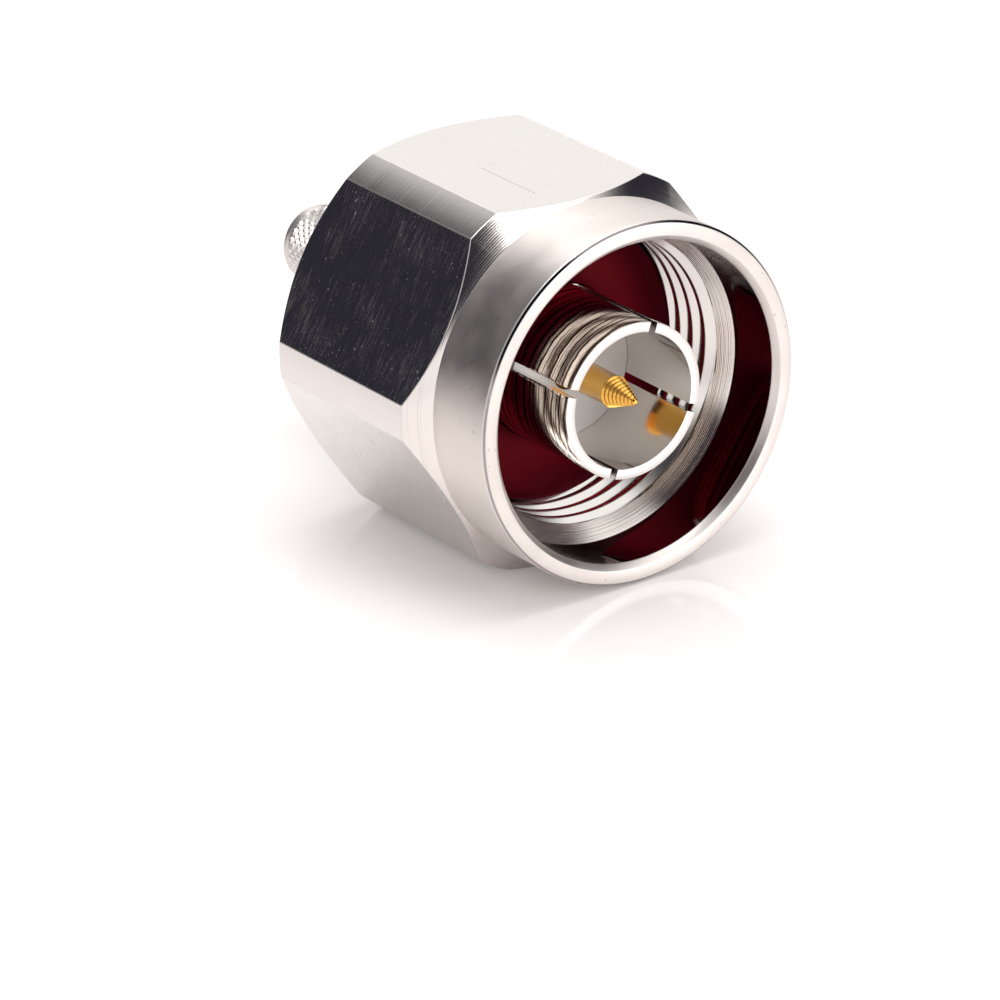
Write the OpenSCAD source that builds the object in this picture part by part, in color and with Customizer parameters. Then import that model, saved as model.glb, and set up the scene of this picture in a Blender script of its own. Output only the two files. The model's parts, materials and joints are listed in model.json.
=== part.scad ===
// Coaxial plug with a threaded coupling nut, lying on one flat of its hexagon.
// Stations are measured along the plug's axis from the front rim of the outer
// contact: positive towards the cable end, negative towards the mating socket.
// lay() turns that axis to +Y, so the mouth faces -Y and a flat faces down.

/* [Coupling nut] */
// Distance across the flats of the hexagon
across_flats = 19.05; // [18.6:0.05:21]
// Diameter of the round bar that the hexagon is milled from
bar_d = 21; // [19.6:0.1:22]
// Overall length of the nut
nut_len = 17.4; // [16.6:0.1:22]
// Length of the round collar at the mouth
collar_len = 4.3; // [3.6:0.1:6]
// Outer diameter of the round collar
collar_d = 18.85; // [18.2:0.05:19]
// Slope of the chamfers that end the hexagon, from the nut's face
hex_slope = 45; // [30:1:55]
// Depth of the front chamfer's root below the collar
collar_relief = 0.08; // [0:0.01:0.2]
// Edge break on the collar's outer front edge
collar_break = 0.15; // [0.05:0.05:0.4]
// Diameter of the smooth lead-in bore
lead_d = 16.7; // [16.2:0.1:17.2]
// Depth of the lead-in bore from the nut's face
lead_depth = 3.4; // [2:0.1:4]
// Slope of the chamfer that leads into the thread, from the axis
thread_lead_slope = 45; // [30:5:60]
// Radial width of the chamfer at the mouth
mouth_chamfer = 0.3; // [0.1:0.05:0.5]
// Depth of the chamfer at the mouth
mouth_chamfer_depth = 0.33; // [0.1:0.01:0.5]
// Bore at the crests of the coupling thread
thread_minor_d = 14.9; // [14.7:0.05:15.1]
// Diameter at the roots of the coupling thread
thread_major_d = 15.9; // [15.6:0.05:16.1]
// Width of the relief groove behind the thread
relief_w = 1.1; // [0.6:0.1:1.4]
// Wall between the relief groove and the shoulder that pulls on the body
relief_to_shoulder = 1.9; // [1.2:0.1:2.4]

/* [Contacts] */
// How far the outer contact's rim stands back from the nut's face
rim_setback = 0.6; // [0.3:0.1:1.5]
// Outer diameter of the slotted outer contact
outer_contact_d = 8.13; // [7.9:0.01:8.3]
// Bore of the outer contact
outer_contact_bore = 7.09; // [6.9:0.01:7.2]
// Diameter of the outer contact's base, under the gasket and in the body
contact_base_d = 9; // [8.6:0.1:9.4]
// Length of outer contact that stands in front of the gasket
contact_free_len = 6.8; // [6:0.1:7.4]
// Width of each slot in the outer contact
slot_w = 0.4; // [0.25:0.05:0.8]
// Number of slots
slot_count = 4; // [2:1:8]
// Diameter of the centre pin where it mates
pin_d = 1.65; // [1.5:0.01:1.8]
// How far the pin's tip stands in front of the outer contact's rim
pin_lead = 0.2; // [-0.5:0.1:0.5]
// Length of the pin's conical point
pin_cone_len = 1.9; // [1:0.1:2.5]
// Radius of the blunt end of the point
pin_blunt_r = 0.1; // [0.05:0.01:0.2]
// Diameter of the contact's shank inside the insulators
shank_d = 2.1; // [1.9:0.05:2.6]
// Diameter of the collar that holds the contact between the insulators
captive_d = 3; // [2.6:0.1:4]
// Length of that collar
captive_len = 0.8; // [0.5:0.1:1.5]
// Hole for the cable's inner conductor
wire_hole_d = 1.1; // [0.8:0.05:1.4]
// Depth of that hole
wire_hole_depth = 4.2; // [3:0.1:5]

/* [Insulators and gasket] */
// Depth of the front insulator's face behind the outer contact's rim
insulator_depth = 5.33; // [4.5:0.01:6]
// Length of the rear insulator
rear_insulator_len = 4.5; // [3.5:0.1:5]
// Thickness of the gasket
gasket_t = 1.9; // [1:0.1:2.2]
// Radius on the gasket's front outer edge
gasket_round = 0.12; // [0.05:0.01:0.3]

/* [Body] */
// Thickness of the body's flange
flange_t = 2.5; // [1.8:0.1:3]
// Depth to which the outer contact is pressed into the body
contact_seat_depth = 3.3; // [2.5:0.1:3.6]
// Diameter of the neck that the nut turns on
neck_d = 12.44; // [11.8:0.02:12.8]
// How far the neck stands out behind the nut
neck_out = 0.6; // [0.4:0.1:1.5]
// Diameter of the rear hub
hub_d = 9.2; // [7.6:0.1:10]
// Length of the rear hub behind the neck
hub_len = 2.6; // [1.6:0.1:3]
// Edge breaks on the body
body_break = 0.3; // [0.1:0.05:0.5]

/* [Retaining ring] */
// Width of the ring along the axis
ring_w = 1; // [0.8:0.05:1.2]
// Depth of its groove in the body's neck
ring_groove_depth = 0.7; // [0.4:0.05:0.9]
// How far the ring stands out of the neck, into the nut
ring_stand = 0.68; // [0.4:0.02:0.9]
// Distance from the nut's shoulder to the ring
ring_setback = 2.15; // [1.5:0.05:2.8]
// Width of the split in the ring
ring_split = 2.2; // [1:0.1:4]

/* [Crimp post] */
// Outer diameter over the post's knurl
post_d = 4.14; // [3.8:0.02:4.6]
// Bore for the cable's insulation
post_bore = 3.1; // [2.9:0.05:3.2]
// Length of post behind the body
post_len = 8.2; // [6:0.1:11]
// Diameter of the post's root, pressed into the body
post_root_d = 4.6; // [4.6:0.1:5.4]
// Radius on the post's rear rim
post_round = 0.36; // [0.15:0.01:0.4]

/* [Clearances] */
// Radial running clearance between the nut and the body
run_gap = 0.08; // [0.03:0.01:0.1]
// Free space between the nut and what it turns past, and its end float
free_gap = 0.15; // [0.1:0.01:0.2]
// Clearance between pieces that are fixed to one another
seat_gap = 0.01; // [0.005:0.005:0.03]

/* [Hidden] */
$fn = 96;
eps = 0.02;

nickel = "#c9c4bd";
gold = "#d9962f";
silicone = "#85001f";
ptfe = "#e4e4e0";

// stations of the nut's outside
nut_front = -rim_setback;
nut_rear = nut_front + nut_len;
collar_rear = nut_front + collar_len;
hex_root_r = collar_d / 2 - collar_relief;
hex_chamfer_len = (bar_d / 2 - hex_root_r) * tan(hex_slope);
thread_lead_len = (lead_d - thread_minor_d) / 2 / tan(thread_lead_slope);

// stations inside, from the gasket back to the crimp post
gasket_front = contact_free_len;
body_front = gasket_front + gasket_t + seat_gap;
flange_rear = body_front + flange_t;
shoulder = flange_rear + free_gap;
relief_rear = shoulder - relief_to_shoulder;
ring_front = shoulder + ring_setback;
ring_rear = ring_front + ring_w;
neck_rear = nut_rear + neck_out;
hub_rear = neck_rear + hub_len;
contact_base_rear = body_front + contact_seat_depth;
rear_insulator_front = contact_base_rear + seat_gap;
rear_insulator_rear = rear_insulator_front + rear_insulator_len;
post_root_front = rear_insulator_rear + seat_gap;
post_rear = hub_rear + post_len;

// radii shared by pieces that fit one another
bead_r = outer_contact_bore / 2 - seat_gap;
flange_r = thread_minor_d / 2 - free_gap;
nut_bore_r = neck_d / 2 + run_gap;
groove_r = neck_d / 2 - ring_groove_depth;
ring_r = neck_d / 2 + ring_stand;
contact_step = gasket_front + free_gap;
lip_r = max(contact_base_d, outer_contact_d) / 2 + seat_gap;
captive_rear = rear_insulator_front + captive_len;

// turns a profile of [radius, station] points about the axis
module turned(profile) rotate_extrude() polygon(profile);

// a plain bore or barrel between two stations
module barrel(r, from, to) translate([0, 0, from]) cylinder(r = r, h = to - from);

// brings the axis from vertical to its lying position
module lay() rotate([-90, 0, 0]) children();

// round bar with both hexagon chamfers, before the flats are milled
module nut_bar() turned([
    [0, collar_rear],
    [hex_root_r, collar_rear],
    [bar_d / 2, collar_rear + hex_chamfer_len],
    [bar_d / 2, nut_rear - hex_chamfer_len],
    [hex_root_r, nut_rear],
    [0, nut_rear]
]);

// collar with its broken front edge
module nut_collar() turned([
    [0, nut_front],
    [collar_d / 2 - collar_break, nut_front],
    [collar_d / 2, nut_front + collar_break],
    [collar_d / 2, collar_rear],
    [0, collar_rear + eps]
]);

// everything that is bored out of the nut, one step after another
module nut_bores() {
    turned([
        [0, nut_front - eps],
        [lead_d / 2 + mouth_chamfer + eps, nut_front - eps],
        [lead_d / 2 + mouth_chamfer, nut_front],
        [lead_d / 2, nut_front + mouth_chamfer_depth],
        [lead_d / 2, nut_front + lead_depth],
        [thread_minor_d / 2, nut_front + lead_depth + thread_lead_len],
        [0, nut_front + lead_depth + thread_lead_len]
    ]);
    barrel(thread_minor_d / 2, nut_front, shoulder);
    barrel(thread_major_d / 2 + run_gap, relief_rear - relief_w, relief_rear);
    barrel(nut_bore_r, nut_front, nut_rear + eps);
    barrel(ring_r + free_gap, ring_front - free_gap / 2, ring_rear + free_gap / 2);
    turned([
        [0, nut_rear - body_break],
        [nut_bore_r, nut_rear - body_break],
        [nut_bore_r + body_break + eps, nut_rear + eps],
        [0, nut_rear + eps]
    ]);
}

module coupling_nut() color(nickel) lay() difference() {
    union() {
        nut_collar();
        intersection() {
            nut_bar();
            translate([0, 0, collar_rear - eps])
                cylinder(r = across_flats / 2 / cos(30), h = nut_len, $fn = 6);
        }
    }
    nut_bores();
}

// square-section snap ring, split on one side
module retaining_ring() color(nickel) lay() difference() {
    barrel(ring_r, ring_front, ring_rear);
    barrel(groove_r + seat_gap, ring_front - eps, ring_rear + eps);
    translate([0, -ring_split / 2, ring_front - eps])
        cube([bar_d, ring_split, ring_w + 2 * eps]);
}

// flat ring whose inner lip closes over the step of the outer contact
module gasket() color(silicone) lay() turned([
    [outer_contact_d / 2 + seat_gap, gasket_front],
    [flange_r - gasket_round, gasket_front],
    [flange_r, gasket_front + gasket_round],
    [flange_r, gasket_front + gasket_t],
    [lip_r, gasket_front + gasket_t],
    [lip_r, contact_step - seat_gap],
    [outer_contact_d / 2 + seat_gap, contact_step - 2 * seat_gap]
]);

// turned body: flange, grooved neck and hub, bored from both ends
module body() color(nickel) lay() difference() {
    turned([
        [0, body_front],
        [flange_r - body_break, body_front],
        [flange_r, body_front + body_break],
        [flange_r, flange_rear],
        [neck_d / 2, flange_rear],
        [neck_d / 2, ring_front - seat_gap],
        [groove_r, ring_front - seat_gap],
        [groove_r, ring_rear + seat_gap],
        [neck_d / 2, ring_rear + seat_gap],
        [neck_d / 2, neck_rear - body_break],
        [neck_d / 2 - body_break, neck_rear],
        [hub_d / 2, neck_rear],
        [hub_d / 2, hub_rear - body_break],
        [hub_d / 2 - body_break, hub_rear],
        [0, hub_rear]
    ]);
    barrel(contact_base_d / 2 + seat_gap, body_front - eps, contact_base_rear);
    barrel(bead_r + seat_gap, contact_base_rear - eps, post_root_front);
    barrel(post_root_d / 2 + seat_gap, post_root_front - eps, hub_rear + eps);
}

// springy slotted sleeve on a stepped base
module outer_contact() color(nickel) lay() difference() {
    union() {
        barrel(outer_contact_d / 2, 0, contact_step + eps);
        barrel(contact_base_d / 2, contact_step, contact_base_rear - seat_gap);
    }
    barrel(outer_contact_bore / 2, -eps, contact_base_rear + eps);
    for (i = [0 : slot_count - 1])
        rotate([0, 0, slot_angle(i)])
            translate([0, -slot_w / 2, -eps])
                cube([outer_contact_d, slot_w, gasket_front - free_gap + eps]);
}

// the slots are spread evenly round the sleeve
function slot_angle(i) = slot_first + i * 360 / slot_count;
slot_first = 20;

module front_insulator() color(ptfe) lay() difference() {
    barrel(bead_r, insulator_depth, contact_base_rear);
    barrel(shank_d / 2 + seat_gap, insulator_depth - eps, contact_base_rear + eps);
}

module rear_insulator() color(ptfe) lay() difference() {
    barrel(bead_r, rear_insulator_front, rear_insulator_rear);
    barrel(captive_d / 2 + seat_gap, rear_insulator_front - eps, captive_rear);
    barrel(shank_d / 2 + seat_gap, rear_insulator_front, rear_insulator_rear + eps);
}

// pin with a conical point, a shank held by its collar, and a wire hole
module centre_contact() color(gold) lay() difference() {
    turned([
        [0, -pin_lead],
        [pin_blunt_r, -pin_lead],
        [pin_d / 2, pin_cone_len - pin_lead],
        [pin_d / 2, insulator_depth],
        [shank_d / 2, insulator_depth],
        [shank_d / 2, rear_insulator_front],
        [captive_d / 2, rear_insulator_front],
        [captive_d / 2, captive_rear - seat_gap],
        [shank_d / 2, captive_rear - seat_gap],
        [shank_d / 2, rear_insulator_rear],
        [0, rear_insulator_rear]
    ]);
    barrel(wire_hole_d / 2, rear_insulator_rear - wire_hole_depth, rear_insulator_rear + eps);
}

// tube over which the braid is crimped, pressed into the hub
module crimp_post() color(nickel) lay() difference() {
    union() {
        turned([
            [0, post_root_front],
            [post_root_d / 2, post_root_front],
            [post_root_d / 2, hub_rear],
            [post_d / 2, hub_rear],
            [post_d / 2, post_rear - post_round],
            [0, post_rear - post_round]
        ]);
        translate([0, 0, post_rear - post_round]) rotate_extrude() post_rim();
    }
    barrel(post_bore / 2, post_root_front - eps, post_rear + eps);
}

// section of the post's rounded rear rim
module post_rim() {
    square([post_d / 2 - post_round, post_round]);
    intersection() {
        translate([post_d / 2 - post_round, 0]) circle(r = post_round, $fn = 32);
        square([post_d / 2, post_round]);
    }
}

coupling_nut();
retaining_ring();
gasket();
body();
outer_contact();
front_insulator();
rear_insulator();
centre_contact();
crimp_post();
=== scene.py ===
import json
from math import acos, atan2, ceil, cos, hypot, pi, radians, sin

import bmesh
import bpy
from mathutils import Matrix, Vector


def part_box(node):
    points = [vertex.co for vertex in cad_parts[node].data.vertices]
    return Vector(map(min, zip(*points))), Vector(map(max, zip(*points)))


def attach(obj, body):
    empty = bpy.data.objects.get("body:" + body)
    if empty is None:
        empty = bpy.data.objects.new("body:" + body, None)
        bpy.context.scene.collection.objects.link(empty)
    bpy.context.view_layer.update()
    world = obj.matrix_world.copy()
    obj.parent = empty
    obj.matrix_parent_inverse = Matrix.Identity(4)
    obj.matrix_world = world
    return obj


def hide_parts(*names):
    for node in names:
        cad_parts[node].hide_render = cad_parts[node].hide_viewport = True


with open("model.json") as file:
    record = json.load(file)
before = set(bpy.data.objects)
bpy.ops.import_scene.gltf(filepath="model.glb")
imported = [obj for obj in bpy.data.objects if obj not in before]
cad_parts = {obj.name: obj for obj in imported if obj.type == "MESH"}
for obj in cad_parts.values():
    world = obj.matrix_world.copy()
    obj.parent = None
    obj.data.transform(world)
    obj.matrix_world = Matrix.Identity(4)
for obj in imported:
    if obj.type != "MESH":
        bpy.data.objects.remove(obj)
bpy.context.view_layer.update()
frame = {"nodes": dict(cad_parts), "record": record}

MM = 0.001

# ---------------------------------------------------------------- sizes
# The CAD nodes give the places; the sizes between them are the makers' own.
NUT_LOW, NUT_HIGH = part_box("coupling_nut")
GASKET_LOW, GASKET_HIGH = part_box("gasket")
PIN_LOW, PIN_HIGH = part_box("centre_contact")
POST_LOW, POST_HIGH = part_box("crimp_post")
SLEEVE_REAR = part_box("outer_contact")[1][1]
BEAD_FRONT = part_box("front_insulator")[0][1]
HUB_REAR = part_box("body")[1][1]
MOUNTS = {m["name"]: m for m in frame["record"]["mounts"]}


def mount_radius(name):
    return MOUNTS[name]["dims"]["r_mm"] * MM


NUT_FRONT, NUT_REAR = NUT_LOW[1], NUT_HIGH[1]
BAR_R = NUT_HIGH[0]
FLAT_R = NUT_HIGH[2]
HALF_FLAT = acos(FLAT_R / BAR_R)
COLLAR_R = 9.425 * MM
COLLAR_REAR = NUT_FRONT + 4.3 * MM
COLLAR_RELIEF = 0.08 * MM
COLLAR_BREAK = 0.15 * MM
LEAD_R = 8.35 * MM
LEAD_REAR = NUT_FRONT + 3.4 * MM
MOUTH_CHAMFER = 0.3 * MM
MOUTH_CHAMFER_DEPTH = 0.33 * MM
NUT_EDGE = 0.05 * MM
RELIEF_R = 8.03 * MM
RELIEF_FRONT = 8.36 * MM
RELIEF_REAR = 9.46 * MM
SHOULDER = 11.36 * MM
NUT_BORE_R = 6.3 * MM
RING_GROOVE_R = 7.05 * MM
RING_GROOVE = (13.435 * MM, 14.585 * MM)
REAR_BREAK = 0.3 * MM
# where the one long scratch on the top flat starts and ends
SCRATCH = [Vector((-1.4 * MM, station * MM, FLAT_R)) for station in (5.9, 10.5)]

THREAD_MINOR_R = 7.45 * MM
THREAD_MAJOR_R = 7.95 * MM
THREAD_PITCH = 25.4 * MM / 24
# in pitches from the middle of the root: the end of the root's flat, and the start of the crest's
THREAD_ROOT_END, THREAD_CREST_START = 1 / 16, 3 / 8
FORM_STEPS = 32

SLEEVE_R = mount_radius("outer_contact")
SLEEVE_BORE_R = 3.545 * MM
SLEEVE_BASE_R = 4.5 * MM
SLEEVE_STEP = 6.95 * MM
SLEEVE_EDGE = 0.03 * MM
SLOTS = 4
SLOT_FIRST = radians(-20)
SLOT_WIDTH = 0.4 * MM
SLOT_REAR = 6.65 * MM
SAW_OVERRUN = 1 * MM

PIN_R = mount_radius("centre_pin")
PIN_CONE = 1.9 * MM
PIN_STEPS = 9
PIN_STEP_GROOVE = 0.03 * MM
PIN_BLUNT_R = 0.1 * MM
SHANK_R = 1.05 * MM
WIRE_HOLE_R = 0.55 * MM
WIRE_HOLE_DEPTH = 4.2 * MM

POST_R = mount_radius("crimp_post")
POST_BORE_R = mount_radius("cable_bore")
POST_ROOT_R = POST_HIGH[0]
POST_ROUND = 0.36 * MM
KNURL_FRONT = HUB_REAR + 0.6 * MM
KNURL_REAR = POST_HIGH[1] - 0.5 * MM
KNURL_RUN_IN = 0.15 * MM
KNURL_RUN_OUT = 0.1 * MM
TEETH_ROUND = 26
TEETH_PITCH = 0.5 * MM
TOOTH_HEIGHT = 0.12 * MM
TOOTH_TOP = 0.38  # the tooth's top, as a share of its foot

GASKET_GAP = 0.01 * MM
GASKET_EDGE = 0.08 * MM

SEGMENTS = 240
FINE_SEGMENTS = 96  # for the pin and the post, which are slim
NEAR = 0.02 * MM  # a face this close to a surface belongs to it
WELD = 0.0005 * MM
GRID_WELD = 0.0002 * MM


# ---------------------------------------------------------------- small helpers
def linear(hex_colour):
    """Turns an sRGB hex colour into the linear values that shaders use."""
    parts = [int(hex_colour[i:i + 2], 16) / 255 for i in (1, 3, 5)]
    return tuple(c / 12.92 if c <= 0.04045 else ((c + 0.055) / 1.055) ** 2.4 for c in parts) + (1.0,)


def add_node(tree, kind, inputs=None, **settings):
    """Adds a node. Settings are its properties; an input takes a value, a socket or a node's first output."""
    node = tree.nodes.new(kind)
    for key, value in settings.items():
        setattr(node, key, value)
    for key, value in (inputs or {}).items():
        source = value.outputs[0] if isinstance(value, bpy.types.Node) else value
        if isinstance(source, bpy.types.NodeSocket):
            tree.links.new(source, node.inputs[key])
        else:
            node.inputs[key].default_value = source
    return node


def link_object(name, data):
    obj = bpy.data.objects.new(name, data)
    bpy.context.scene.collection.objects.link(obj)
    return obj


def baked(obj):
    """Turns an object and its modifiers into a plain mesh object of the same name."""
    bpy.context.view_layer.update()
    source = obj.evaluated_get(bpy.context.evaluated_depsgraph_get())
    mesh = bpy.data.meshes.new_from_object(source)
    name = obj.name
    bpy.data.objects.remove(obj)
    done = link_object(name, mesh)
    done.name = name
    mesh.name = name
    return done


def edge_rounded(obj, width, angle, slot=-1):
    """Rounds the machined edges; slot is a finish for the roundings, which else take their neighbours'."""
    bevel = obj.modifiers.new("edge rounding", "BEVEL")
    bevel.width = width
    bevel.segments = 2
    bevel.limit_method = "ANGLE"
    bevel.angle_limit = radians(angle)
    bevel.material = slot
    return baked(obj)


def true_shaded(obj, sharp=35):
    """Shades round surfaces smooth and keeps the large faces between rounded edges true."""
    obj.data.shade_smooth()
    obj.data.set_sharp_from_angle(angle=radians(sharp))
    weighted = obj.modifiers.new("face normals", "WEIGHTED_NORMAL")
    weighted.keep_sharp = True
    weighted.weight = 90
    return baked(obj)


def even_angles(count):
    return [2 * pi * i / count for i in range(count)]


def skin(bm, first, second, slot=0):
    """Joins two rings of the same count, or a ring and a pole, and returns the faces."""
    count = max(len(first), len(second))
    faces = []
    for i in range(count):
        j = (i + 1) % count
        corners = [first[i % len(first)], first[j % len(first)], second[j % len(second)], second[i % len(second)]]
        faces.append(bm.faces.new(list(dict.fromkeys(corners))))
        faces[-1].material_index = slot
    return faces


def turned(name, profile, count=SEGMENTS, closed=True):
    """Turns a line of (radius, station) points about the Y axis."""
    mesh = bpy.data.meshes.new(name)
    bm = bmesh.new()
    rings = []
    for radius, station in profile:
        if radius == 0:
            rings.append([bm.verts.new((0, station, 0))])
        else:
            rings.append([bm.verts.new((radius * cos(a), station, radius * sin(a))) for a in even_angles(count)])
    for first, second in zip(rings, rings[1:] + rings[:1] if closed else rings[1:]):
        skin(bm, first, second)
    bmesh.ops.recalc_face_normals(bm, faces=bm.faces)
    bm.to_mesh(mesh)
    bm.free()
    return link_object(name, mesh)


def grown(name, tree, values):
    """Runs a Geometry Nodes tree with its named inputs and returns the plain mesh object."""
    obj = link_object(name, bpy.data.meshes.new(name))
    modifier = obj.modifiers.new(name, "NODES")
    modifier.node_group = tree
    for item in tree.interface.items_tree:
        if item.in_out == "INPUT" and item.name in values:
            modifier[item.identifier] = values[item.name]
    return baked(obj)


def joined(name, *parts):
    """Welds parts that share their edge points into one piece."""
    mesh = bpy.data.meshes.new(name)
    materials = []
    bm = bmesh.new()
    for part in parts:
        start = len(bm.faces)
        bm.from_mesh(part.data)
        bm.faces.ensure_lookup_table()
        for face in bm.faces[start:]:
            material = part.data.materials[face.material_index]
            if material not in materials:
                materials.append(material)
            face.material_index = materials.index(material)
        bpy.data.objects.remove(part)
    bmesh.ops.remove_doubles(bm, verts=bm.verts, dist=WELD)
    bmesh.ops.recalc_face_normals(bm, faces=bm.faces)
    bm.to_mesh(mesh)
    bm.free()
    for material in materials:
        mesh.materials.append(material)
    return link_object(name, mesh)


def new_tree(name, lengths, counts):
    """A Geometry Nodes tree with named lengths, counts and a plating as its inputs."""
    tree = bpy.data.node_groups.new(name, "GeometryNodeTree")
    sockets = [(size, "NodeSocketFloat") for size in lengths] + [(count, "NodeSocketInt") for count in counts]
    for label, kind in sockets + [("Plating", "NodeSocketMaterial")]:
        tree.interface.new_socket(label, in_out="INPUT", socket_type=kind)
    tree.interface.new_socket("Geometry", in_out="OUTPUT", socket_type="NodeSocketGeometry")
    return tree, add_node(tree, "NodeGroupInput").outputs


def plated_output(tree, geometry, plating):
    """Ends a tree: real geometry in its plating."""
    real = add_node(tree, "GeometryNodeRealizeInstances", {"Geometry": geometry})
    coated = add_node(tree, "GeometryNodeSetMaterial", {"Geometry": real, "Material": plating})
    add_node(tree, "NodeGroupOutput", {0: coated})


# ---------------------------------------------------------------- coupling nut
def from_flat(angle):
    """Angle from the middle of the nearest of the six flats."""
    turn = (angle - pi / 6) % (pi / 3)
    return min(turn, pi / 3 - turn)


def snapped_angles():
    """Even angles, with the nearest one moved onto each edge between a flat and the bar."""
    angles = even_angles(SEGMENTS)
    for flat in range(6):
        for side in (-1, 1):
            edge = (pi / 6 + flat * pi / 3 + side * HALF_FLAT) % (2 * pi)
            angles[round(edge / (2 * pi / SEGMENTS)) % SEGMENTS] = edge
    return angles


def thread_tree():
    """Threaded bore: a grid wrapped round the bore, whose radius follows the thread's form."""
    tree, given = new_tree(
        "threaded bore",
        ("Minor Radius", "Major Radius", "Lead Radius", "End Radius", "Pitch", "Start", "End"),
        ("Steps Round", "Steps Along"))
    grid = add_node(tree, "GeometryNodeMeshGrid", {
        "Size X": 1.0, "Size Y": 1.0, "Vertices X": given["Steps Round"], "Vertices Y": given["Steps Along"]})
    place = add_node(tree, "ShaderNodeSeparateXYZ", {0: add_node(tree, "GeometryNodeInputPosition")}).outputs
    turn = add_node(tree, "ShaderNodeMath", {0: place[0], 1: 0.5}, operation="ADD")
    rows = add_node(tree, "ShaderNodeMath", {0: given["Steps Along"], 1: 1.0}, operation="SUBTRACT")
    share = add_node(tree, "ShaderNodeMath", {0: place[1], 1: 0.5}, operation="ADD")
    row = add_node(tree, "ShaderNodeMath", {0: share, 1: rows}, operation="MULTIPLY")
    # each row climbs one step of the form, and lags one pitch behind over a full turn
    pitches = add_node(tree, "ShaderNodeMath", {0: row, 1: FORM_STEPS}, operation="DIVIDE")
    rise = add_node(tree, "ShaderNodeMath", {0: pitches, 1: given["Pitch"]}, operation="MULTIPLY")
    lag = add_node(tree, "ShaderNodeMath", {0: turn, 1: given["Pitch"]}, operation="MULTIPLY")
    climb = add_node(tree, "ShaderNodeMath", {0: given["Start"], 1: rise}, operation="ADD")
    helix = add_node(tree, "ShaderNodeMath", {0: climb, 1: lag}, operation="SUBTRACT")
    started = add_node(tree, "ShaderNodeMath", {0: helix, 1: given["Start"]}, operation="MAXIMUM")
    station = add_node(tree, "ShaderNodeMath", {0: started, 1: given["End"]}, operation="MINIMUM")
    unwound = add_node(tree, "ShaderNodeMath", {0: station, 1: lag}, operation="ADD")
    threads = add_node(tree, "ShaderNodeMath", {0: unwound, 1: given["Pitch"]}, operation="DIVIDE")
    phase = add_node(tree, "ShaderNodeMath", {0: threads}, operation="FRACT")
    off_root = add_node(tree, "ShaderNodeMath", {0: phase, 1: 0.5}, operation="SUBTRACT")
    from_root = add_node(tree, "ShaderNodeMath", {0: off_root}, operation="ABSOLUTE")
    form = add_node(tree, "ShaderNodeMapRange", {
        "Value": from_root, "From Min": THREAD_ROOT_END, "From Max": THREAD_CREST_START,
        "To Min": given["Major Radius"], "To Max": given["Minor Radius"]})
    # a chamfer at 45 degrees leads in, and the last row meets the relief groove
    depth = add_node(tree, "ShaderNodeMath", {0: station, 1: given["Start"]}, operation="SUBTRACT")
    lead = add_node(tree, "ShaderNodeMath", {0: given["Lead Radius"], 1: depth}, operation="SUBTRACT")
    cut = add_node(tree, "ShaderNodeMath", {0: form, 1: lead}, operation="MAXIMUM")
    before_last = add_node(tree, "ShaderNodeMath", {0: rows, 1: 0.5}, operation="SUBTRACT")
    last = add_node(tree, "ShaderNodeMath", {0: row, 1: before_last}, operation="GREATER_THAN")
    radius = add_node(tree, "ShaderNodeMix", {0: last, 2: cut, 3: given["End Radius"]})
    angle = add_node(tree, "ShaderNodeMath", {0: turn, 1: 2 * pi}, operation="MULTIPLY")
    out_x = add_node(tree, "ShaderNodeMath", {0: angle}, operation="COSINE")
    out_z = add_node(tree, "ShaderNodeMath", {0: angle}, operation="SINE")
    spot = add_node(tree, "ShaderNodeCombineXYZ", {
        0: add_node(tree, "ShaderNodeMath", {0: radius, 1: out_x}, operation="MULTIPLY"),
        1: station,
        2: add_node(tree, "ShaderNodeMath", {0: radius, 1: out_z}, operation="MULTIPLY")})
    wrapped = add_node(tree, "GeometryNodeSetPosition", {"Geometry": grid, "Position": spot})
    merged = add_node(tree, "GeometryNodeMergeByDistance", {"Geometry": wrapped, "Distance": GRID_WELD})
    plated_output(tree, merged, given["Plating"])
    return tree


def coupling_thread():
    """Threaded bore of the nut; its lead-in chamfer has a finish of its own."""
    pitches = (RELIEF_FRONT - LEAD_REAR) / THREAD_PITCH + 1
    thread = grown("coupling_thread", thread_tree(), {
        "Minor Radius": THREAD_MINOR_R, "Major Radius": THREAD_MAJOR_R, "Lead Radius": LEAD_R, "End Radius": RELIEF_R,
        "Pitch": THREAD_PITCH, "Start": LEAD_REAR, "End": RELIEF_FRONT,
        "Steps Round": SEGMENTS + 1, "Steps Along": ceil(pitches * FORM_STEPS) + 2, "Plating": THREADED,
    })
    thread.data.materials.append(CHAMFERED)
    for face in thread.data.polygons:
        cone_r = LEAD_R - (face.center.y - LEAD_REAR)
        if abs(hypot(face.center.x, face.center.z) - cone_r) < NEAR:
            face.material_index = len(thread.data.materials) - 1
    return thread


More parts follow.
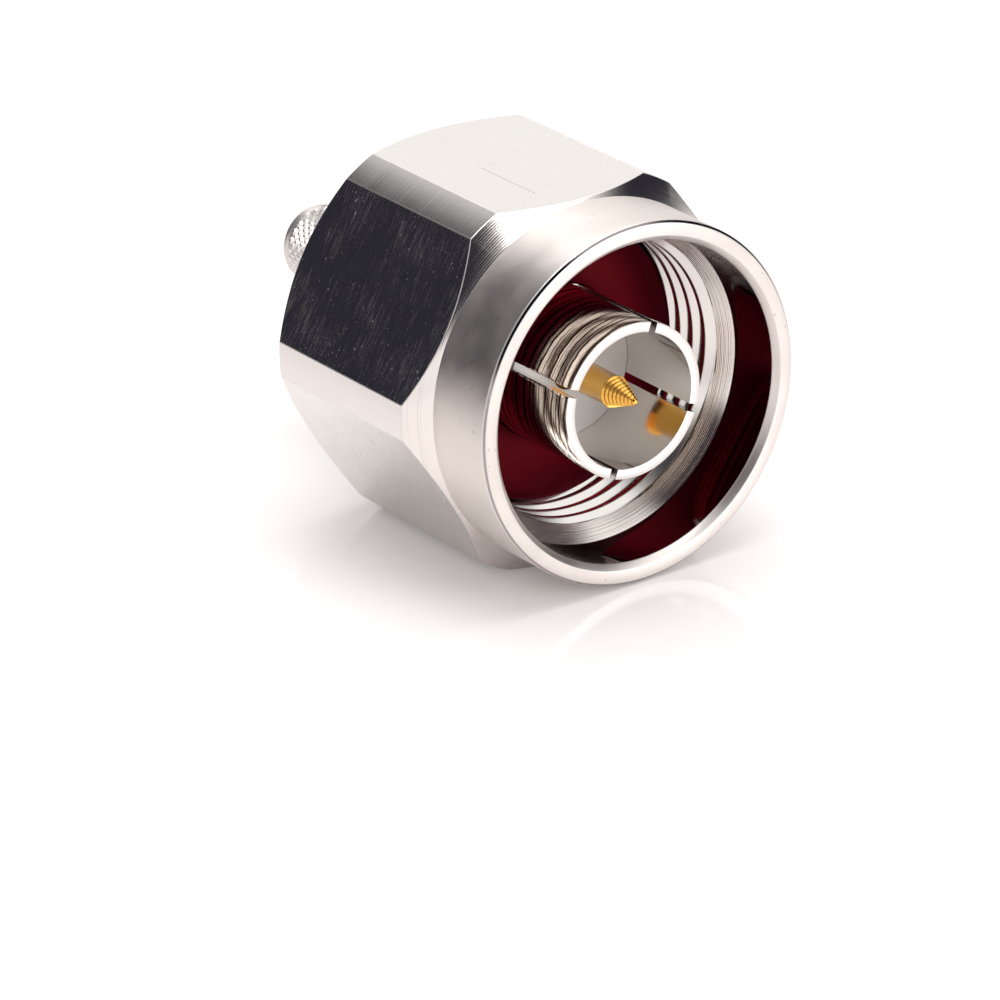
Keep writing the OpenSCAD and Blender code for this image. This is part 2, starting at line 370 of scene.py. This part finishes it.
def coupling_nut():
    """Round bar milled to a hexagon, with a collar, stepped bores and the coupling thread."""
    finishes = (TURNED, MILLED, POLISHED, BORED, STEPPED, WORN)
    root_r = COLLAR_R - COLLAR_RELIEF
    bm = bmesh.new()

    def ring(radius, station):
        return [bm.verts.new((radius * cos(a), station, radius * sin(a))) for a in even_angles(SEGMENTS)]

    def hexagon(root_station, way):
        """Edge where the milled bar meets a chamfer at 45 degrees, which starts at the root."""
        verts = []
        for a in snapped_angles():
            radius = min(FLAT_R / cos(from_flat(a)), BAR_R)
            verts.append(bm.verts.new((radius * cos(a), root_station + way * (radius - root_r), radius * sin(a))))
        return verts

    # each ring with the finish of the surface that follows it
    rings = [
        (ring(LEAD_R, LEAD_REAR), BORED),
        (ring(LEAD_R, NUT_FRONT + MOUTH_CHAMFER_DEPTH), POLISHED),
        (ring(LEAD_R + MOUTH_CHAMFER, NUT_FRONT), POLISHED),
        (ring(COLLAR_R - COLLAR_BREAK, NUT_FRONT), BORED),
        (ring(COLLAR_R, NUT_FRONT + COLLAR_BREAK), POLISHED),
        (ring(COLLAR_R, COLLAR_REAR), STEPPED),
        (ring(root_r, COLLAR_REAR), STEPPED),
        (hexagon(COLLAR_REAR, 1), MILLED),
        (hexagon(NUT_REAR, -1), TURNED),
        (ring(root_r, NUT_REAR), TURNED),
        (ring(NUT_BORE_R + REAR_BREAK, NUT_REAR), TURNED),
        (ring(NUT_BORE_R, NUT_REAR - REAR_BREAK), TURNED),
        (ring(NUT_BORE_R, RING_GROOVE[1]), TURNED),
        (ring(RING_GROOVE_R, RING_GROOVE[1]), TURNED),
        (ring(RING_GROOVE_R, RING_GROOVE[0]), TURNED),
        (ring(NUT_BORE_R, RING_GROOVE[0]), TURNED),
        (ring(NUT_BORE_R, SHOULDER), TURNED),
        (ring(THREAD_MINOR_R, SHOULDER), TURNED),
        (ring(THREAD_MINOR_R, RELIEF_REAR), BORED),
        (ring(RELIEF_R, RELIEF_REAR), BORED),
        (ring(RELIEF_R, RELIEF_FRONT), None),
    ]
    for (first, finish), (second, _) in zip(rings, rings[1:]):
        for face in skin(bm, first, second, finishes.index(finish)):
            middle = face.calc_center_median()
            if finish == MILLED and from_flat(atan2(middle.z, middle.x)) >= HALF_FLAT:
                face.material_index = finishes.index(TURNED)
    bmesh.ops.recalc_face_normals(bm, faces=bm.faces)
    mesh = bpy.data.meshes.new("nut_shell")
    bm.to_mesh(mesh)
    bm.free()
    for finish in finishes:
        mesh.materials.append(finish)
    shell = edge_rounded(link_object("nut_shell", mesh), NUT_EDGE, 15, finishes.index(WORN))
    return true_shaded(joined("hexagon_coupling_nut", shell, coupling_thread()))


# ---------------------------------------------------------------- contacts
def slotted_sleeve():
    """Springy outer contact: a turned sleeve sawn into fingers, ridged outside."""
    sleeve = turned("slotted_sleeve", [
        (SLEEVE_R, 0), (SLEEVE_R, SLEEVE_STEP), (SLEEVE_BASE_R, SLEEVE_STEP),
        (SLEEVE_BASE_R, SLEEVE_REAR), (SLEEVE_BORE_R, SLEEVE_REAR), (SLEEVE_BORE_R, 0),
    ])
    saw = bpy.data.meshes.new("saw cuts")
    bm = bmesh.new()
    for i in range(SLOTS):
        turn = Matrix.Rotation(SLOT_FIRST + i * 2 * pi / SLOTS, 4, "Y").inverted()
        size = Matrix.Diagonal((SLEEVE_R, SLOT_REAR + SAW_OVERRUN, SLOT_WIDTH, 1))
        place = Matrix.Translation((SLEEVE_R, (SLOT_REAR - SAW_OVERRUN) / 2, 0))
        bmesh.ops.create_cube(bm, size=1, matrix=turn @ place @ size)
    bm.to_mesh(saw)
    bm.free()
    cutter = link_object("saw cuts", saw)
    cut = sleeve.modifiers.new("slots", "BOOLEAN")
    cut.object = cutter
    cut.operation = "DIFFERENCE"
    cut.solver = "EXACT"
    sleeve = baked(sleeve)
    bpy.data.objects.remove(cutter)
    sleeve = true_shaded(edge_rounded(sleeve, SLEEVE_EDGE, 30))
    sleeve.data.materials.clear()
    sleeve.data.materials.append(CONTACT)
    sleeve.data.materials.append(RIDGED)
    for face in sleeve.data.polygons:
        face.material_index = int(hypot(face.center.x, face.center.z) > SLEEVE_R - NEAR)
    return sleeve


def centre_pin():
    """Gold pin: the point keeps the steps of its turning."""
    tip, rear = PIN_LOW[1], PIN_HIGH[1]
    step = PIN_CONE / PIN_STEPS
    rise = (PIN_R - PIN_BLUNT_R) / PIN_STEPS
    profile = [(0, tip), (PIN_BLUNT_R, tip)]
    for i in range(PIN_STEPS):
        radius, station = PIN_BLUNT_R + rise * i, tip + step * i
        # a steep face, a nearly level top and a fine groove
        profile += [
            (radius + rise * 0.95, station + step * 0.3), (radius + rise, station + step * 0.7),
            (radius + rise - PIN_STEP_GROOVE, station + step),
        ]
    profile += [
        (PIN_R, BEAD_FRONT), (SHANK_R, BEAD_FRONT), (SHANK_R, rear),
        (WIRE_HOLE_R, rear), (WIRE_HOLE_R, rear - WIRE_HOLE_DEPTH), (0, rear - WIRE_HOLE_DEPTH),
    ]
    pin = true_shaded(turned("gold_centre_pin", profile, FINE_SEGMENTS, closed=False), sharp=30)
    pin.data.materials.append(GOLD)
    return pin


# ---------------------------------------------------------------- crimp post
def knurl_tree():
    """Diamond knurl: staggered rows of four-sided teeth standing on the post."""
    tree, given = new_tree(
        "diamond knurl", ("Core Radius", "Tooth Height", "Start", "Pitch"), ("Teeth Round", "Rows"))
    count = add_node(tree, "ShaderNodeMath", {0: given["Teeth Round"], 1: given["Rows"]}, operation="MULTIPLY")
    points = add_node(tree, "GeometryNodePoints", {"Count": count})
    index = add_node(tree, "GeometryNodeInputIndex")
    # every other row is half a tooth round, and rows are half a pitch apart
    middle = add_node(tree, "ShaderNodeMath", {0: index, 1: 0.5}, operation="ADD")
    rows = add_node(tree, "ShaderNodeMath", {0: middle, 1: given["Teeth Round"]}, operation="DIVIDE")
    row = add_node(tree, "ShaderNodeMath", {0: rows}, operation="FLOOR")
    passed = add_node(tree, "ShaderNodeMath", {0: row, 1: given["Teeth Round"]}, operation="MULTIPLY")
    column = add_node(tree, "ShaderNodeMath", {0: index, 1: passed}, operation="SUBTRACT")
    odd = add_node(tree, "ShaderNodeMath", {0: row, 1: 2.0}, operation="MODULO")
    stagger = add_node(tree, "ShaderNodeMath", {0: odd, 1: 0.5}, operation="MULTIPLY")
    tooth_number = add_node(tree, "ShaderNodeMath", {0: column, 1: stagger}, operation="ADD")
    turn = add_node(tree, "ShaderNodeMath", {0: tooth_number, 1: given["Teeth Round"]}, operation="DIVIDE")
    angle = add_node(tree, "ShaderNodeMath", {0: turn, 1: 2 * pi}, operation="MULTIPLY")
    pitches = add_node(tree, "ShaderNodeMath", {0: row, 1: 2.0}, operation="DIVIDE")
    along = add_node(tree, "ShaderNodeMath", {0: pitches, 1: given["Pitch"]}, operation="MULTIPLY")
    station = add_node(tree, "ShaderNodeMath", {0: given["Start"], 1: along}, operation="ADD")
    out_x = add_node(tree, "ShaderNodeMath", {0: angle}, operation="COSINE")
    out_z = add_node(tree, "ShaderNodeMath", {0: angle}, operation="SINE")
    spot = add_node(tree, "ShaderNodeCombineXYZ", {
        0: add_node(tree, "ShaderNodeMath", {0: out_x, 1: given["Core Radius"]}, operation="MULTIPLY"),
        1: station,
        2: add_node(tree, "ShaderNodeMath", {0: out_z, 1: given["Core Radius"]}, operation="MULTIPLY")})
    placed = add_node(tree, "GeometryNodeSetPosition", {"Geometry": points, "Position": spot})
    # a tooth is a low four-sided frustum with one diagonal along the post
    half_round = add_node(tree, "ShaderNodeMath", {0: given["Core Radius"], 1: pi}, operation="MULTIPLY")
    width = add_node(tree, "ShaderNodeMath", {0: half_round, 1: given["Teeth Round"]}, operation="DIVIDE")
    top = add_node(tree, "ShaderNodeMath", {0: width, 1: TOOTH_TOP}, operation="MULTIPLY")
    tooth = add_node(tree, "GeometryNodeMeshCone", {
        "Vertices": 4, "Radius Bottom": width, "Radius Top": top, "Depth": given["Tooth Height"]}, fill_type="NGON")
    stand = add_node(tree, "FunctionNodeAxesToRotation", {
        "Primary Axis": add_node(tree, "ShaderNodeCombineXYZ", {0: out_x, 2: out_z}),
        "Secondary Axis": add_node(tree, "ShaderNodeCombineXYZ", {1: 1.0}),
    }, primary_axis="Z", secondary_axis="X")
    diagonal = add_node(tree, "ShaderNodeMath", {0: width, 1: 2.0}, operation="MULTIPLY")
    longer = add_node(tree, "ShaderNodeMath", {0: given["Pitch"], 1: diagonal}, operation="DIVIDE")
    stretch = add_node(tree, "ShaderNodeCombineXYZ", {0: longer, 1: 1.0, 2: 1.0})
    teeth = add_node(tree, "GeometryNodeInstanceOnPoints", {
        "Points": placed, "Instance": tooth, "Rotation": stand, "Scale": stretch})
    plated_output(tree, teeth, given["Plating"])
    return tree


def crimp_post():
    """Support tube for the braid, with a diamond knurl and a rounded rim."""
    core_r = POST_R - TOOTH_HEIGHT
    rim = [
        (POST_R - POST_ROUND + POST_ROUND * cos(radians(a)), POST_HIGH[1] - POST_ROUND + POST_ROUND * sin(radians(a)))
        for a in range(0, 91, 15)
    ]
    tube = turned("knurled_crimp_post", [
        (POST_BORE_R, POST_LOW[1]), (POST_ROOT_R, POST_LOW[1]), (POST_ROOT_R, HUB_REAR),
        (POST_R, HUB_REAR), (POST_R, KNURL_FRONT - KNURL_RUN_IN), (core_r, KNURL_FRONT),
        (core_r, KNURL_REAR), (POST_R, KNURL_REAR + KNURL_RUN_OUT),
    ] + rim + [(POST_BORE_R, POST_HIGH[1])], FINE_SEGMENTS)
    tube.data.materials.append(KNURLED)
    teeth = grown("knurl_teeth", knurl_tree(), {
        "Core Radius": core_r, "Tooth Height": TOOTH_HEIGHT, "Start": KNURL_FRONT + TEETH_PITCH / 4,
        "Pitch": TEETH_PITCH, "Teeth Round": TEETH_ROUND,
        "Rows": int((KNURL_REAR - KNURL_FRONT) / TEETH_PITCH * 2), "Plating": KNURLED,
    })
    return true_shaded(joined("knurled_crimp_post", tube, teeth), sharp=30)


# ---------------------------------------------------------------- gasket
def gasket_ring():
    """Moulded ring on the floor of the mouth, which closes round the sleeve."""
    free_r, base_r = SLEEVE_R + GASKET_GAP, SLEEVE_BASE_R + GASKET_GAP
    ring = turned("face_gasket", [
        (free_r, GASKET_LOW[1]), (GASKET_HIGH[0], GASKET_LOW[1]), (GASKET_HIGH[0], GASKET_HIGH[1]),
        (base_r, GASKET_HIGH[1]), (base_r, SLEEVE_STEP - GASKET_GAP), (free_r, SLEEVE_STEP - 2 * GASKET_GAP),
    ])
    ring = true_shaded(edge_rounded(ring, GASKET_EDGE, 40))
    ring.data.materials.clear()
    ring.data.materials.append(SILICONE)
    return ring


# ---------------------------------------------------------------- materials
NICKEL = "#ece8e4"
# brown of old polish in the knocks, and of the dark rings, which are partly painted shade
OLD_POLISH_AND_SHADE = "#38221b"


def new_material(name):
    material = bpy.data.materials.new(name)
    material.use_nodes = True
    material.node_tree.nodes.clear()
    return material, material.node_tree


def lathe_path(tree, inward=False):
    """Distance along a turned surface: it grows along barrels and across faces, and up or down cones."""
    place = add_node(tree, "ShaderNodeTexCoord").outputs["Object"]
    parts = add_node(tree, "ShaderNodeSeparateXYZ", {0: place}).outputs
    flat = add_node(tree, "ShaderNodeCombineXYZ", {0: parts[0], 1: parts[2]})
    radius = add_node(tree, "ShaderNodeVectorMath", {0: flat}, operation="LENGTH")
    along = add_node(tree, "ShaderNodeMath", {0: radius.outputs["Value"], 1: parts[1]},
                     operation="SUBTRACT" if inward else "ADD")
    return place, parts, along


def feed_lines(tree, along, pitch, uneven):
    """Height of the tool's rings: even feed marks mixed with finer, uneven ones."""
    turns = add_node(tree, "ShaderNodeMath", {0: along, 1: 2 * pi / pitch}, operation="MULTIPLY")
    marks = add_node(tree, "ShaderNodeMath", {0: turns}, operation="SINE")
    fine = add_node(tree, "ShaderNodeTexNoise", {"W": along, "Scale": 2.6 / pitch, "Detail": 4.0, "Roughness": 0.6},
                    noise_dimensions="1D")
    mixed = add_node(tree, "ShaderNodeMix", {"Factor": uneven, 2: marks, 3: fine})
    return add_node(tree, "ShaderNodeMapRange", {"Value": mixed, "From Min": -1.0})


def plate(name, roughness, pitch, depth, colour=NICKEL, drawn=0.0, cloudy=0.0, uneven=0.5, residue_and_shade=0.0,
          wander=0.0, inward=False, nicks=0.0):
    """Bright plate on machined metal: a mirror that keeps the tool's fine rings.

    The rings have a pitch and a depth. Rings round the axis smear what the metal mirrors along the axis (drawn).
    Its polish may be cloudy, its rings uneven and wandering. Dark brown rings at random along the path (residue and
    shade) are partly old polish and partly painted shade, which stands in for dark reflections in the rings. Old
    polish also stays in the knocks from handling (nicks).
    """
    material, tree = new_material(name)
    place, _, along = lathe_path(tree, inward)
    surface = {"Metallic": 1.0, "Base Color": linear(colour), "Roughness": roughness}
    if drawn:
        # a quarter of a turn from the tangent, which runs round the axis
        tangent = add_node(tree, "ShaderNodeTangent", direction_type="RADIAL", axis="Y")
        surface.update({"Anisotropic": drawn, "Anisotropic Rotation": 0.25, "Tangent": tangent})
    if cloudy:
        # clouds of about 2.4 mm
        clouds = add_node(tree, "ShaderNodeTexNoise", {"Vector": place, "Scale": 0.42 / MM, "Detail": 3.0})
        surface["Roughness"] = add_node(tree, "ShaderNodeMapRange", {
            "Value": clouds, "From Min": 0.35, "From Max": 0.65,
            "To Min": roughness * (1 - cloudy), "To Max": roughness * (1 + cloudy)})
    if wander:
        # rings drift over lengths of 2 mm and less
        drift = add_node(tree, "ShaderNodeTexNoise", {
            "Vector": place, "Scale": 0.5 / MM, "Detail": 3.0, "Roughness": 0.65})
        along = add_node(tree, "ShaderNodeMath", {0: drift, 1: wander, 2: along}, operation="MULTIPLY_ADD")
    soil_and_shade = None
    if nicks:
        # knocks of under 0.4 mm
        knocks = add_node(tree, "ShaderNodeTexNoise", {"Vector": place, "Scale": 2.6 / MM, "Detail": 2.0})
        soil_and_shade = add_node(tree, "ShaderNodeMapRange", {
            "Value": knocks, "From Min": 0.7, "From Max": 0.75, "To Max": nicks})
    elif residue_and_shade:
        # dark brown rings, partly old polish and partly painted shade: the more there are, the more of the rings they
        # fill
        rings = add_node(tree, "ShaderNodeTexNoise", {
            "W": along, "Scale": 0.9 / pitch, "Detail": 3.0, "Roughness": 0.65}, noise_dimensions="1D")
        soil_and_shade = add_node(tree, "ShaderNodeMapRange", {
            "Value": rings, "From Min": 0.62 - 0.14 * residue_and_shade, "From Max": 0.68 - 0.14 * residue_and_shade, "To Max": residue_and_shade})
    # the colour turns brown in the nicks and in the dark rings; the rings are partly painted shade
    if soil_and_shade:
        surface["Base Color"] = add_node(tree, "ShaderNodeMix", {
            0: soil_and_shade, 6: linear(colour), 7: linear(OLD_POLISH_AND_SHADE)}, data_type="RGBA").outputs[2]
    height = feed_lines(tree, along, pitch, uneven)
    surface["Normal"] = add_node(tree, "ShaderNodeBump", {"Height": height, "Distance": depth})
    shader = add_node(tree, "ShaderNodeBsdfPrincipled", surface)
    add_node(tree, "ShaderNodeOutputMaterial", {"Surface": shader})
    return material


def milled_nickel():
    """Nickel plate on milled brass flats: a mirror broken by the cutter's streaks across the flat, and stray nicks."""
    material, tree = new_material("bright nickel plate, milled")
    place, parts, _ = lathe_path(tree)
    # streaks run the short way of the flat: 0.11 mm apart along the axis, and long round it
    round_way = add_node(tree, "ShaderNodeMath", {0: parts[2], 1: parts[0]}, operation="ARCTAN2")
    spot = add_node(tree, "ShaderNodeCombineXYZ", {0: parts[1], 1: round_way})
    spread = add_node(tree, "ShaderNodeVectorMath", {0: spot, 1: (9 / MM, 5.0, 1.0)}, operation="MULTIPLY")
    streaks = add_node(tree, "ShaderNodeTexNoise", {"Vector": spread, "Scale": 1.0, "Detail": 3.0, "Roughness": 0.7},
                       noise_dimensions="2D")
    # wear in blotches of 3.3 mm flattens them here and there
    worn = add_node(tree, "ShaderNodeTexNoise", {"Vector": place, "Scale": 0.3 / MM, "Detail": 2.0})
    wear = add_node(tree, "ShaderNodeMapRange", {"Value": worn, "From Min": 0.35, "From Max": 0.65, "To Min": 0.8})
    height = add_node(tree, "ShaderNodeMath", {0: streaks, 1: wear}, operation="MULTIPLY")
    bump = add_node(tree, "ShaderNodeBump", {"Height": height, "Distance": 0.018 * MM})
    # the high streaks are rubbed, and nicks of under 0.2 mm catch the light
    rough = add_node(tree, "ShaderNodeMapRange", {
        "Value": height, "From Min": 0.4, "From Max": 0.62, "To Min": 0.07, "To Max": 0.3})
    dots = add_node(tree, "ShaderNodeTexNoise", {"Vector": place, "Scale": 5.2 / MM, "Detail": 1.0})
    nicks = add_node(tree, "ShaderNodeMapRange", {"Value": dots, "From Min": 0.72, "From Max": 0.77, "To Max": 0.35})
    uneven = add_node(tree, "ShaderNodeMath", {0: rough, 1: nicks}, operation="ADD")
    # one long scratch on the top flat
    start, end = SCRATCH
    half = (end - start).length / 2
    way = (end - start).normalized()
    from_start = add_node(tree, "ShaderNodeVectorMath", {0: place, 1: start}, operation="SUBTRACT")
    beside = add_node(tree, "ShaderNodeVectorMath", {0: from_start, 1: way}, operation="CROSS_PRODUCT")
    apart = add_node(tree, "ShaderNodeVectorMath", {0: beside}, operation="LENGTH")
    along = add_node(tree, "ShaderNodeVectorMath", {0: from_start, 1: way}, operation="DOT_PRODUCT")
    thin = add_node(tree, "ShaderNodeMapRange", {
        "Value": apart.outputs["Value"], "From Min": 0.03 * MM, "From Max": 0.01 * MM})
    inside = add_node(tree, "ShaderNodeMath", {0: along.outputs["Value"], 1: half, 2: half}, operation="COMPARE")
    scratch = add_node(tree, "ShaderNodeMath", {0: thin, 1: inside}, operation="MULTIPLY")
    colour = add_node(tree, "ShaderNodeMix", {0: scratch, 6: linear(NICKEL), 7: linear("#b3aaa5")}, data_type="RGBA")
    shader = add_node(tree, "ShaderNodeBsdfPrincipled", {
        "Metallic": 1.0, "Base Color": colour.outputs[2], "Roughness": uneven, "Normal": bump})
    add_node(tree, "ShaderNodeOutputMaterial", {"Surface": shader})
    return material


def silicone_rubber():
    """Silicone moulded in a polished tool: deep red, with a soft red gloss and a faint orange-peel."""
    material, tree = new_material("moulded silicone rubber")
    place = add_node(tree, "ShaderNodeTexCoord").outputs["Object"]
    # waves of about 1.1 mm
    peel = add_node(tree, "ShaderNodeTexNoise", {"Vector": place, "Scale": 0.9 / MM, "Detail": 2.0})
    bump = add_node(tree, "ShaderNodeBump", {"Height": peel, "Distance": 0.004 * MM})
    # the red gloss is stronger than silicone's own, so that it shows from within a deep mouth
    shader = add_node(tree, "ShaderNodeBsdfPrincipled", {
        "Base Color": linear("#38000e"), "Roughness": 0.44, "IOR": 1.55,
        "Specular IOR Level": 1.0, "Specular Tint": linear("#ff0034"), "Normal": bump})
    add_node(tree, "ShaderNodeOutputMaterial", {"Surface": shader})
    return material


def white_ptfe():
    """PTFE turned from rod: a soft, waxy white with faint tool rings."""
    material, tree = new_material("turned white PTFE")
    _, _, along = lathe_path(tree)
    height = feed_lines(tree, along, 0.12 * MM, 0.5)
    bump = add_node(tree, "ShaderNodeBump", {"Height": height, "Distance": 0.002 * MM})
    shader = add_node(tree, "ShaderNodeBsdfPrincipled", {
        "Base Color": linear("#f2f2ef"), "Roughness": 0.45, "IOR": 1.35, "Normal": bump})
    add_node(tree, "ShaderNodeOutputMaterial", {"Surface": shader})
    return material


# Ring pitches are a lathe's feeds, 0.09 to 0.3 mm a turn. Polished, bored, threaded and gold surfaces really have
# finer ones: they are drawn about 0.1 mm apart, which is as coarse as they need to be to show.

# Nickel plate on bar left as turned: plain rings, whose mirror image is smeared along the axis
TURNED = plate("bright nickel plate, turned", 0.13, 0.22 * MM, 0.019 * MM, drawn=0.5, cloudy=0.3)
# Nickel plate on a collar polished in the lathe: a soft satin band, with a few brown nicks
POLISHED = plate("bright nickel plate, polished", 0.4, 0.09 * MM, 0.0004 * MM, "#e9e1dc", drawn=0.6, cloudy=0.12,
                 nicks=0.3)
# Nickel plate on a finely bored surface: a dim, clear mirror. Its grey is partly thinner plating and partly
# painted shade, darkened to stand in for the shade in the bore
BORED = plate("bright nickel plate, bored", 0.05, 0.1 * MM, 0.0002 * MM, "#aba0a1")
# Nickel plate on the nut's front chamfer, turned by a coarse feed: sharp, uneven rings, with a few dark brown
# rings that are partly old polish and partly painted shade
STEPPED = plate("bright nickel plate, coarsely turned", 0.12, 0.16 * MM, 0.0065 * MM, "#ece5e1", drawn=0.5,
                uneven=0.8, residue_and_shade=0.15, wander=0.2 * MM)
# Nickel plate on the lead-in chamfer: bright rings with dark brown rings between them, partly old polish and
# partly painted shade
CHAMFERED = plate("bright nickel plate, chamfered", 0.12, 0.12 * MM, 0.005 * MM, "#ece5df", uneven=0.6,
                  residue_and_shade=0.4, wander=0.05 * MM, inward=True)
# Nickel plate on rolled knurling: a satin glitter
KNURLED = plate("bright nickel plate, knurled", 0.38, 0.1 * MM, 0.0006 * MM)
# Nickel plate on a cut thread: clean, bright flanks
THREADED = plate("bright nickel plate, threaded", 0.12, 0.1 * MM, 0.0003 * MM)
MILLED = milled_nickel()
# Nickel plate on spring bronze, finely turned: a clear mirror, a little wavy
CONTACT = plate("nickel plate on spring bronze", 0.1, 0.3 * MM, 0.0008 * MM, uneven=0.7)
# The same outside the sleeve, warm, with dark brown rings where the feed left ridges: partly old polish, partly
# painted shade that stands in for the thread mirrored in the ridges
RIDGED = plate("nickel plate on spring bronze, ridged", 0.1, 0.26 * MM, 0.0014 * MM, "#dccfc2", uneven=0.7,
               residue_and_shade=0.95, wander=0.45 * MM)
# Nickel plate rubbed dull where edges meet other things: a fine pale line
WORN = plate("nickel plate rubbed at the edges", 0.4, 0.1 * MM, 0.0002 * MM)
# Gold plate on turned brass: a deep yellow mirror
GOLD = plate("gold plate on turned brass", 0.16, 0.1 * MM, 0.001 * MM, "#f6bd5c")
SILICONE = silicone_rubber()
PTFE = white_ptfe()


# ---------------------------------------------------------------- assembly
def settle(piece, body, node):
    """Puts a finished piece in place of its CAD node."""
    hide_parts(node)
    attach(piece, body)


def dress(node, material):
    """Gives a kept CAD node its material in every slot."""
    mesh = frame["nodes"][node].data
    for i in range(len(mesh.materials)):
        mesh.materials[i] = material


settle(coupling_nut(), "nut", "coupling_nut")
settle(slotted_sleeve(), "connector", "outer_contact")
settle(centre_pin(), "connector", "centre_contact")
settle(crimp_post(), "connector", "crimp_post")
settle(gasket_ring(), "connector", "gasket")
dress("body", TURNED)
dress("retaining_ring", TURNED)
dress("front_insulator", PTFE)
dress("rear_insulator", PTFE)


# ---------------------------------------------------------------- studio
WHITE = (1, 1, 1, 1)
# what the metal mirrors: white walls, and dark sides, each with its direction and the cosines at its edge and core
WALLS = (1.04, 1.03, 1.02, 1)
DARK = (0.024, 0.023, 0.034, 1)
DARK_SIDES = (
    ((-0.603, 0.757, 0.252), 0.55, 0.88),
    ((-0.45, -0.64, 0.62), 0.78, 0.92),
    ((0.94, -0.08, 0.33), 0.8, 0.95),
)
# what lights matt surfaces, a little warm
AMBIENT = (0.82, 0.755, 0.745, 1)
FLOOR_GLOW = 0.08
FLOOR_HALF = 0.6


def studio_floor():
    """White acrylic sheet: pale, with a soft shadow and a faint mirror image."""
    corners = [(x * FLOOR_HALF, y * FLOOR_HALF, NUT_LOW[2]) for x, y in ((-1, -1), (1, -1), (1, 1), (-1, 1))]
    mesh = bpy.data.meshes.new("studio_floor")
    mesh.from_pydata(corners, [], [(0, 1, 2, 3)])
    material, tree = new_material("white acrylic sheet")
    seen = add_node(tree, "ShaderNodeLightPath").outputs["Is Camera Ray"]
    glow = add_node(tree, "ShaderNodeMath", {0: seen, 1: FLOOR_GLOW}, operation="MULTIPLY")
    shader = add_node(tree, "ShaderNodeBsdfPrincipled", {
        "Base Color": linear("#f9f9f9"), "Roughness": 0.1, "IOR": 1.49, "Specular IOR Level": 0.35,
        "Emission Color": WHITE, "Emission Strength": glow})
    add_node(tree, "ShaderNodeOutputMaterial", {"Surface": shader})
    mesh.materials.append(material)
    link_object("studio_floor", mesh)


def studio_world():
    """White room with three dark sides: behind on the left, beside the camera, and to the right."""
    world = bpy.data.worlds.new("studio")
    bpy.context.scene.world = world
    world.use_nodes = True
    tree = world.node_tree
    tree.nodes.clear()
    way = add_node(tree, "ShaderNodeTexCoord").outputs["Generated"]
    light = 1.0
    for dark_way, edge, core in DARK_SIDES:
        near = add_node(tree, "ShaderNodeVectorMath", {0: way, 1: Vector(dark_way).normalized()},
                        operation="DOT_PRODUCT")
        fade = add_node(tree, "ShaderNodeMapRange", {
            "Value": near.outputs["Value"], "From Min": core, "From Max": edge}, interpolation_type="SMOOTHSTEP")
        light = add_node(tree, "ShaderNodeMath", {0: light, 1: fade}, operation="MULTIPLY")
    path = add_node(tree, "ShaderNodeLightPath").outputs
    mirrored = add_node(tree, "ShaderNodeMix", {0: light, 6: DARK, 7: WALLS}, data_type="RGBA").outputs[2]
    unseen = add_node(tree, "ShaderNodeMix", {0: path["Is Glossy Ray"], 6: AMBIENT, 7: mirrored},
                      data_type="RGBA").outputs[2]
    colour = add_node(tree, "ShaderNodeMix", {0: path["Is Camera Ray"], 6: unseen, 7: WHITE},
                      data_type="RGBA").outputs[2]
    back = add_node(tree, "ShaderNodeBackground", {"Color": colour})
    add_node(tree, "ShaderNodeOutputWorld", {0: back})


def soft_light(name, place, size, power):
    """A softbox aimed at the middle of the nut."""
    data = bpy.data.lights.new(name, "AREA")
    data.shape = "RECTANGLE"
    data.size, data.size_y = size
    data.energy = power
    away = (Vector(place) - Vector((0, 5 * MM, 0))).normalized()
    turn = away.to_track_quat("Z", "Y").to_matrix().to_4x4()
    link_object(name, data).matrix_world = Matrix.Translation(place) @ turn


def camera():
    """Long lens in front of the mouth, to its left and a little above, rolled slightly."""
    azimuth, elevation, roll = radians(-34.53), radians(23.35), radians(-1.857)
    distance = 350.3 * MM
    aim = Vector((-2.091, 8.795, -7.676)) * MM
    ahead = Vector((-sin(azimuth) * cos(elevation), cos(azimuth) * cos(elevation), -sin(elevation)))
    level = Vector((cos(azimuth), sin(azimuth), 0))
    upright = level.cross(ahead)
    right = level * cos(roll) + upright * sin(roll)
    up = upright * cos(roll) - level * sin(roll)
    data = bpy.data.cameras.new("camera")
    data.sensor_width = 36
    data.lens = 250.3
    data.clip_start = 0.01
    data.clip_end = 10
    obj = link_object("camera", data)
    turn = Matrix((right, up, -ahead)).transposed().to_4x4()
    obj.matrix_world = Matrix.Translation(aim - ahead * distance) @ turn
    bpy.context.scene.camera = obj


studio_floor()
studio_world()
soft_light("overhead softbox", (0.02, 0.02, 0.3), (0.24, 0.24), 0.45)
soft_light("front softbox", (0.13, -0.28, 0.09), (0.16, 0.12), 0.22)
camera()
bpy.context.scene.view_settings.view_transform = "Standard"
